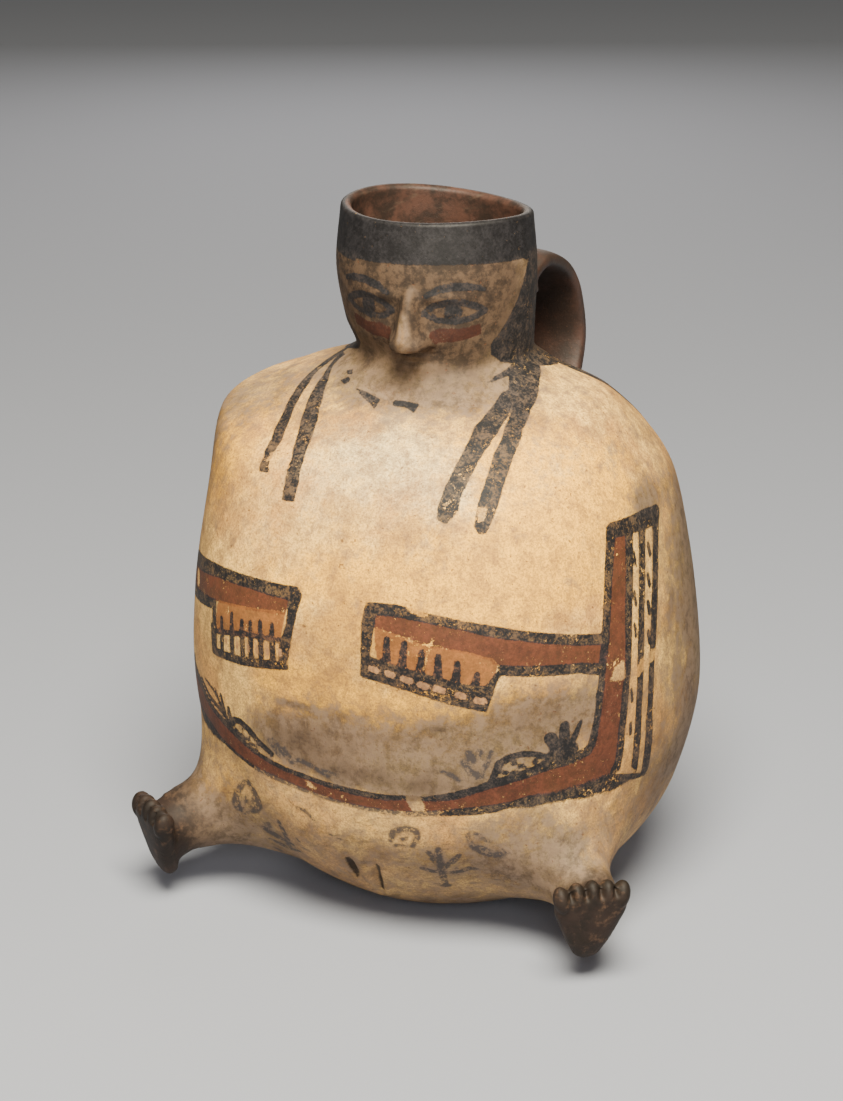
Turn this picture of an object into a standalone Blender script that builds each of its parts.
"""Handled effigy jar: one hollow vessel of fired clay in the form of a seated figure.

The figure faces -Y, +Z is up and the origin is the centre of the flat underside. The egg-shaped
belly is the body, the neck is the head with a modelled nose, two stub legs with bare feet reach
forward from the belly, and one broad strap handle bridges the back of the neck and the shoulder.
Lengths are in metres.
"""
import math

import bmesh
import bpy
import numpy as np
from mathutils.bvhtree import BVHTree

# Overall size
SHOULDER_HEIGHT = 0.2165  # underside to the foot of the neck
NECK_HEIGHT = 0.0515  # foot of the neck to the rim
BELLY_WIDTH = 0.1936  # widest, from side to side
NECK_WIDTH = 0.0768  # widest, from side to side
BASE_WIDTH = 0.060  # flattened spot that the jar stands on
WALL = 0.0058
SHOULDER_RISE = 0.0145  # how far the figure's right shoulder stands above the slope of the front
RIM_WAVE = 0.0009  # how uneven the hand-made rim is
NECK_LEAN = (-0.0033, -0.0030)  # how far the rim sits off the axis

# Legs and feet
LEG_ROOT = (0.0575, -0.0370, 0.0375)  # inside the belly, left leg
ANKLE = (0.0878, -0.0646, 0.0286)
LEG_FLARE = 0.045  # radius at which the leg has melted into the belly
ANKLE_LEFT, ANKLE_RIGHT = 0.0224, 0.0272  # thickness of each ankle
HEEL = (0.0876, -0.0716, 0.0101)
FOOT_TURN = math.radians(39)  # how far the soles face out from the front
FOOT_LEAN = math.radians(15)  # the toes lean out from the heel by this
FOOT_LENGTH, FOOT_WIDTH, FOOT_THICK = 0.0330, 0.0290, 0.0095
TOES = 5

# Strap handle
HANDLE_WIDTH, HANDLE_THICK = 0.0350, 0.0075
HANDLE_TOP = 0.0255  # top of the loop above the foot of the neck
HANDLE_DROP = 0.0635  # top of the loop to its lower end
HANDLE_REACH = 0.0845  # axis of the jar to the back of the loop
HANDLE_TURN = math.radians(4)  # the loop sits a little to the figure's left of the back

# Face, on plain proportions: nose as wide as one fifth of the head
HEAD_TURN = math.radians(5)
NOSE_WIDTH, NOSE_PROUD = NECK_WIDTH / 5, 0.0105
NOSE_TOP, NOSE_FOOT = 0.0290, 0.0080  # above the foot of the neck

COLUMNS, LEG_SIDES, SINK = 46, 18, 0.5 * WALL
ROWS = (11, 14, 7)  # rows of faces on the belly, the shoulders and the neck

# The form as shares of the jar's own size. Body rows: height, left side, right side, front, back,
# squareness, left and right shoulder rise, lean forward.
BODY = (
    (0.02, 0.47, 0.47, 0.465, 0.47, 2.0, 0.0, 0.0, 0.0),
    (0.09, 0.745, 0.745, 0.665, 0.70, 2.1, 0.0, 0.0, 0.0),
    (0.22, 0.93, 0.93, 0.85, 0.875, 2.2, 0.0, 0.0, 0.0),
    (0.39, 1.00, 1.00, 0.905, 0.94, 2.3, 0.0, 0.0, 0.0),
    (0.57, 0.965, 0.965, 0.925, 0.91, 2.4, 0.0, 0.0, 0.004),
    (0.745, 0.865, 0.89, 0.815, 0.85, 2.5, 0.50, 0.60, 0.0115),
    (0.82, 0.77, 0.865, 0.725, 0.775, 2.4, 0.52, 0.97, 0.0175),
    (0.885, 0.65, 0.635, 0.595, 0.62, 2.2, 0.55, 0.78, 0.014),
    (0.955, 0.415, 0.425, 0.40, 0.41, 2.1, 0.26, 0.28, 0.0075),
)
# Neck rows: height, left side, right side, front, back, lean towards the rim's place.
NECK = (
    (0.0, 0.84, 0.90, 0.89, 0.89, 0.0),
    (0.22, 0.895, 0.97, 0.917, 0.917, 0.4),
    (0.61, 0.98, 0.995, 0.927, 0.927, 0.95),
    (1.0, 0.95, 0.95, 0.85, 0.865, 1.0),
)
# Foot rows from the heel to the toes: place along the sole, width, thickness.
FOOT = (
    (0.00, 0.18, 0.35),
    (0.05, 0.32, 0.62),
    (0.16, 0.46, 0.86),
    (0.32, 0.64, 1.00),
    (0.50, 0.81, 1.00),
    (0.68, 0.95, 0.95),
    (0.82, 0.96, 0.85),
    (0.90, 0.88, 0.70),
    (0.94, 0.70, 0.45),
)
# Points of the handle's loop: way out from the neck to the reach, way down from the top to the lower end.
LOOP = (
    (0.00, 0.095),
    (0.14, 0.040),
    (0.34, 0.000),
    (0.66, 0.087),
    (0.90, 0.290),
    (1.00, 0.583),
    (0.92, 0.820),
    (0.755, 1.000),
)
# Nose rows from the brow to the tip and under it: place down, width, how proud.
NOSE = (
    (0.00, 0.28, 0.05),
    (0.12, 0.38, 0.30),
    (0.35, 0.50, 0.52),
    (0.60, 0.68, 0.78),
    (0.80, 0.90, 0.98),
    (0.90, 1.00, 1.00),
    (0.97, 0.92, 0.78),
    (1.00, 0.70, 0.40),
)


def stations():
    """Rows of height, widths left and right, depths front and back, squareness, rises, leans, rim wave."""
    base, half, neck = 0.5 * BASE_WIDTH, 0.5 * BELLY_WIDTH, 0.5 * NECK_WIDTH
    rows = [(0.0, base, base, base, base, 2.0, 0.0, 0.0, 0.0, 0.0, 0.0)]
    for height, left, right, front, back, square, rise_left, rise_right, lean in BODY:
        widths = (half * left, half * right, half * front, half * back)
        rises = (rise_left * SHOULDER_RISE, rise_right * SHOULDER_RISE)
        forward = -lean * SHOULDER_HEIGHT
        rows.append((height * SHOULDER_HEIGHT, *widths, square, *rises, 0.0, forward, 0.0))
    for height, left, right, front, back, lean in NECK:
        widths = (neck * left, neck * right, neck * front, neck * back)
        level = SHOULDER_HEIGHT + height * NECK_HEIGHT
        leans = (lean * NECK_LEAN[0], lean * NECK_LEAN[1])
        rows.append((level, *widths, 2.0, 0.0, 0.0, *leans, RIM_WAVE * height**4))
    return np.array(rows)


def between(rows, where):
    """The rows read at fractional places, with slopes that never overshoot a station."""
    step = np.diff(rows, axis=0)
    slope = np.zeros_like(rows)
    same = step[:-1] * step[1:] > 0
    slope[1:-1][same] = (2 * step[:-1] * step[1:])[same] / (step[:-1] + step[1:])[same]
    slope[0], slope[-1] = step[0], step[-1]
    first = np.clip(np.floor(where).astype(int), 0, len(rows) - 2)
    t = (where - first)[:, None]
    return (
        rows[first] * (1 + 2 * t) * (1 - t) ** 2
        + slope[first] * t * (1 - t) ** 2
        + rows[first + 1] * t * t * (3 - 2 * t)
        + slope[first + 1] * t * t * (t - 1)
    )


def skin_rings():
    """Rings of the outer surface from the underside to the rim, each a rounded egg-shaped section."""
    rows = stations()
    limits = (0, 5, len(BODY) + 1, len(rows) - 1)  # underside, belly, foot of the neck, rim
    spans = [np.linspace(a, b, n, endpoint=False) for a, b, n in zip(limits, limits[1:], ROWS)]
    read = between(rows, np.concatenate([*spans, limits[-1:]]))
    angle = np.arange(COLUMNS) * math.tau / COLUMNS  # 0 is the front, growing toward the figure's left
    side, ahead = np.sin(angle), np.cos(angle)
    rings = []
    uneven = np.sin(2 * angle) - 0.5 * np.cos(2 * angle) - 0.9 * side + 0.5 * ahead
    for height, left, right, front, back, square, rise_left, rise_right, lean_x, lean_y, wave in read:
        power = 2 / square
        x = np.where(side > 0, left, right) * np.sign(side) * np.abs(side) ** power + lean_x
        y = -np.where(ahead > 0, front, back) * np.sign(ahead) * np.abs(ahead) ** power + lean_y
        z = height + np.where(side > 0, rise_left, rise_right) * side**2 + wave * uneven
        rings.append(np.stack([x, y, z], axis=1))
    return rings


def mesh_object(name, vertices, faces, collection):
    mesh = bpy.data.meshes.new(name)
    mesh.from_pydata([tuple(map(float, v)) for v in vertices], [], faces)
    work = bmesh.new()
    work.from_mesh(mesh)
    bmesh.ops.recalc_face_normals(work, faces=work.faces)
    work.to_mesh(mesh)
    work.free()
    mesh.shade_smooth()
    obj = bpy.data.objects.new(name, mesh)
    collection.objects.link(obj)
    return obj


def ring_faces(rings, first_cap, last_cap):
    """Quads between neighbouring rings, with a flat face over either end if asked."""
    count = len(rings[0])
    faces = [
        (i * count + j, i * count + (j + 1) % count, (i + 1) * count + (j + 1) % count, (i + 1) * count + j)
        for i in range(len(rings) - 1)
        for j in range(count)
    ]
    if first_cap:
        faces.append(tuple(range(count))[::-1])
    if last_cap:
        faces.append(tuple(range((len(rings) - 1) * count, len(rings) * count)))
    return faces


def lofted(name, rings, collection):
    """A closed solid through the rings, cut into triangles so that every face is flat where pieces join."""
    obj = mesh_object(name, np.concatenate(rings), ring_faces(rings, True, True), collection)
    work = bmesh.new()
    work.from_mesh(obj.data)
    bmesh.ops.triangulate(work, faces=work.faces)
    work.to_mesh(obj.data)
    work.free()
    return obj


def unit(vector):
    return np.asarray(vector, float) / np.linalg.norm(vector)


def cast(skin, origin, direction):
    """Where a line meets the jar's outer surface."""
    return np.array(skin.ray_cast(tuple(origin), tuple(direction))[0])


def leg(name, side, thick, skin, collection):
    """A stub leg that melts into the belly: the skin around the leg's axis drawn out to the ankle."""
    root, ankle = np.array(LEG_ROOT) * (side, 1, 1), np.array(ANKLE) * (side, 1, 1)
    axis, length, radius = unit(ankle - root), np.linalg.norm(ankle - root), 0.5 * thick
    across = unit(np.cross(axis, (0, 0, 1)))
    upward = np.cross(across, axis)
    inside = root - axis * LEG_FLARE * 1.35  # the rays fan out from here
    turn = np.arange(LEG_SIDES) * math.tau / LEG_SIDES
    spokes = np.cos(turn)[:, None] * across + np.sin(turn)[:, None] * upward
    steepest = math.atan(LEG_FLARE / (LEG_FLARE * 1.35 + 0.6 * length))

    def fan(share):
        rays = math.cos(share * steepest) * axis + math.sin(share * steepest) * spokes
        return np.array([cast(skin, inside, ray) for ray in rays]), rays

    heel, toeward, _, sole = foot_frame(side)
    instep = heel + toeward * 0.52 * FOOT_LENGTH - sole * 0.15 * FOOT_THICK
    end = instep + 0.27 * FOOT_WIDTH * spokes  # well inside the foot
    rings = [end]
    for share in (0.22, 0.34, 0.46, 0.58, 0.70, 0.82, 0.92):
        hits, _ = fan(share)
        along = (hits - root) @ axis
        aside = (hits - root) - along[:, None] * axis
        reach = np.linalg.norm(aside, axis=1)
        v = np.clip((share - 0.22) / 0.78, 0, 1)
        drawn, width = (1 - v) ** 1.25, radius + (reach / share - radius) * v**3
        place = along * (1 - drawn) + length * drawn
        rings.append(root + place[:, None] * axis + aside / reach[:, None] * width[:, None])
    for share in (1.0, 0.6, 0.25):
        hits, rays = fan(share)
        rings.append(hits - rays * SINK)
    return lofted(name, rings, collection)


def foot_frame(side):
    out = np.array((math.sin(FOOT_TURN), -math.cos(FOOT_TURN), 0.0))
    toeward = math.cos(FOOT_LEAN) * np.array((0, 0, 1.0)) + math.sin(FOOT_LEAN) * out
    sole = math.cos(FOOT_LEAN) * out - math.sin(FOOT_LEAN) * np.array((0, 0, 1.0))
    across = np.cross(toeward, sole)
    flip = np.array((side, 1.0, 1.0))
    return [flip * v for v in (np.array(HEEL), toeward, across, sole)]


def foot(name, side, collection):
    """A bare foot standing on its heel: a rounded wedge, widest at the toes, with the sole facing out."""
    heel, toeward, across, sole = foot_frame(side)
    turn = np.arange(16) * math.tau / 16
    curve = [np.sign(f(turn)) * np.abs(f(turn)) ** 0.75 for f in (np.cos, np.sin)]
    rings = []
    for place, wide, thick in FOOT:
        middle = heel + toeward * place * FOOT_LENGTH - sole * 0.15 * FOOT_THICK
        width = np.outer(curve[0], across) * 0.5 * wide * FOOT_WIDTH
        rings.append(middle + width + np.outer(curve[1], sole) * 0.5 * thick * FOOT_THICK)
    return lofted(name, rings, collection)


def toe(name, side, number, collection):
    """One toe: a small rounded pad at the wide end of the foot. The middle toes stand highest."""
    heel, toeward, across, sole = foot_frame(side)
    place = (number - (TOES - 1) / 2) / (TOES / 2)
    bpy.ops.mesh.primitive_ico_sphere_add(subdivisions=2, radius=1.0)
    obj = bpy.context.object
    obj.name = obj.data.name = name
    pad = (0.46 * FOOT_WIDTH / TOES, 0.56 * FOOT_THICK, 0.165 * FOOT_LENGTH)
    points = np.array([tuple(v.co) for v in obj.data.vertices]) * pad
    rise = FOOT_LENGTH * (0.885 - 0.10 * place**2)
    middle = heel + toeward * rise + across * place * 0.49 * FOOT_WIDTH - sole * 0.12 * FOOT_THICK
    spread = unit(toeward + 0.18 * place * across)
    placed = middle + points @ np.array((across, sole, spread))
    for vertex, co in zip(obj.data.vertices, placed):
        vertex.co = tuple(co)
    work = bmesh.new()
    work.from_mesh(obj.data)
    bmesh.ops.recalc_face_normals(work, faces=work.faces)
    work.to_mesh(obj.data)
    work.free()
    for old in list(obj.users_collection):
        old.objects.unlink(obj)
    collection.objects.link(obj)
    return obj


def handle(name, skin, collection):
    """A strap swept over a loop from the back of the neck to the shoulder, its ends let into the wall."""
    back = np.array((math.sin(HANDLE_TURN), math.cos(HANDLE_TURN), 0.0))
    across = np.array((back[1], -back[0], 0.0))
    up = np.array((0.0, 0.0, 1.0))
    neck = 0.46 * NECK_WIDTH
    loop = np.array(LOOP) * (HANDLE_REACH - neck, -HANDLE_DROP) + (neck, HANDLE_TOP - 0.5 * HANDLE_THICK)
    path = between(loop, np.linspace(0, len(loop) - 1, 19))
    ahead = np.gradient(path, axis=0)
    ahead /= np.linalg.norm(ahead, axis=1)[:, None]
    turn = np.arange(14) * math.tau / 14
    curve = [np.sign(f(turn)) * np.abs(f(turn)) ** 0.7 for f in (np.cos, np.sin)]
    rings = []
    for i, ((out, rise), (step_out, step_up)) in enumerate(zip(path, ahead)):
        end = min(i, len(path) - 1 - i)
        spread = 1 + 0.16 * max(0, 1 - end / 3) ** 2
        thicken = 1 + 0.7 * max(0, 1 - end / 4) ** 2
        middle = back * out + up * (SHOULDER_HEIGHT + rise)
        outward = -step_up * back + step_out * up
        ring = middle + np.outer(curve[0], across) * 0.5 * HANDLE_WIDTH * spread
        rings.append(ring + np.outer(curve[1], outward) * 0.5 * HANDLE_THICK * thicken)
    for index, toward in ((0, -back), (-1, unit(-0.75 * back - 0.65 * up))):
        rings[index] = np.array([cast(skin, p - toward * HANDLE_DROP / 3, toward) for p in rings[index]])
        rings[index] += toward * SINK
    return lofted(name, rings, collection)


def nose(name, skin, collection):
    """A plain straight nose, widening downward, with a rounded tip."""
    ahead = np.array((math.sin(HEAD_TURN), -math.cos(HEAD_TURN), 0.0))
    across = np.array((-ahead[1], ahead[0], 0.0))
    turn = np.arange(12) * math.tau / 12
    axis = np.array((NECK_LEAN[0] * 0.5, NECK_LEAN[1] * 0.5, 0.0))
    rings = []
    for share, wide, proud in NOSE:
        level = SHOULDER_HEIGHT + NOSE_TOP + (NOSE_FOOT - NOSE_TOP) * share
        foot_of = cast(skin, axis + (0, 0, level), ahead) - ahead * SINK
        reach = SINK + proud * NOSE_PROUD
        bulge = np.maximum(np.cos(turn), 0) ** 0.8 * reach + np.minimum(np.cos(turn), 0) * 0.15 * SINK
        width = np.outer(np.sin(turn), across) * 0.5 * wide * NOSE_WIDTH
        rings.append(foot_of + width + np.outer(bulge, ahead))
    return lofted(name, rings, collection)


def clay(name, colour, roughness):
    material = bpy.data.materials.new(name)
    material.use_nodes = True
    shader = material.node_tree.nodes["Principled BSDF"]
    shader.inputs["Base Color"].default_value = (*colour, 1.0)
    shader.inputs["Roughness"].default_value = roughness
    shader.inputs["Metallic"].default_value = 0.0
    return material


def unite(target, tools):
    for tool in tools:
        tool.hide_render = True
        tool.display_type = "WIRE"
        union = target.modifiers.new("join " + tool.name, "BOOLEAN")
        union.operation = "UNION"
        union.solver = "EXACT"
        union.object = tool


def build():
    for old in list(bpy.data.objects):
        bpy.data.objects.remove(old, do_unlink=True)
    jar_collection = bpy.data.collections.new("handled_effigy_jar")
    tools = bpy.data.collections.new("handled_effigy_jar_additions")
    for collection in (jar_collection, tools):
        bpy.context.scene.collection.children.link(collection)

    rings = skin_rings()
    points, faces = np.concatenate(rings), ring_faces(rings, True, False)
    skin = BVHTree.FromPolygons([tuple(map(float, p)) for p in points], faces)
    jar = mesh_object("effigy_jar", points, faces, jar_collection)
    jar.data.materials.append(clay("cream slip on buff clay", (0.53, 0.37, 0.19), 0.62))
    wall = jar.modifiers.new("wall", "SOLIDIFY")
    wall.thickness, wall.offset, wall.use_even_offset, wall.use_rim = WALL, -1.0, True, True
    jar.modifiers.new("flat faces", "TRIANGULATE")

    additions = [handle("strap_handle", skin, tools), nose("nose", skin, tools)]
    for word, side, thick in (("left", 1, ANKLE_LEFT), ("right", -1, ANKLE_RIGHT)):
        bare_foot = foot(word + "_foot", side, tools)
        unite(bare_foot, [toe(f"{word}_toe_{n + 1}", side, n, tools) for n in range(TOES)])
        additions += [leg(word + "_leg", side, thick, skin, tools), bare_foot]
    unite(jar, additions)


build()
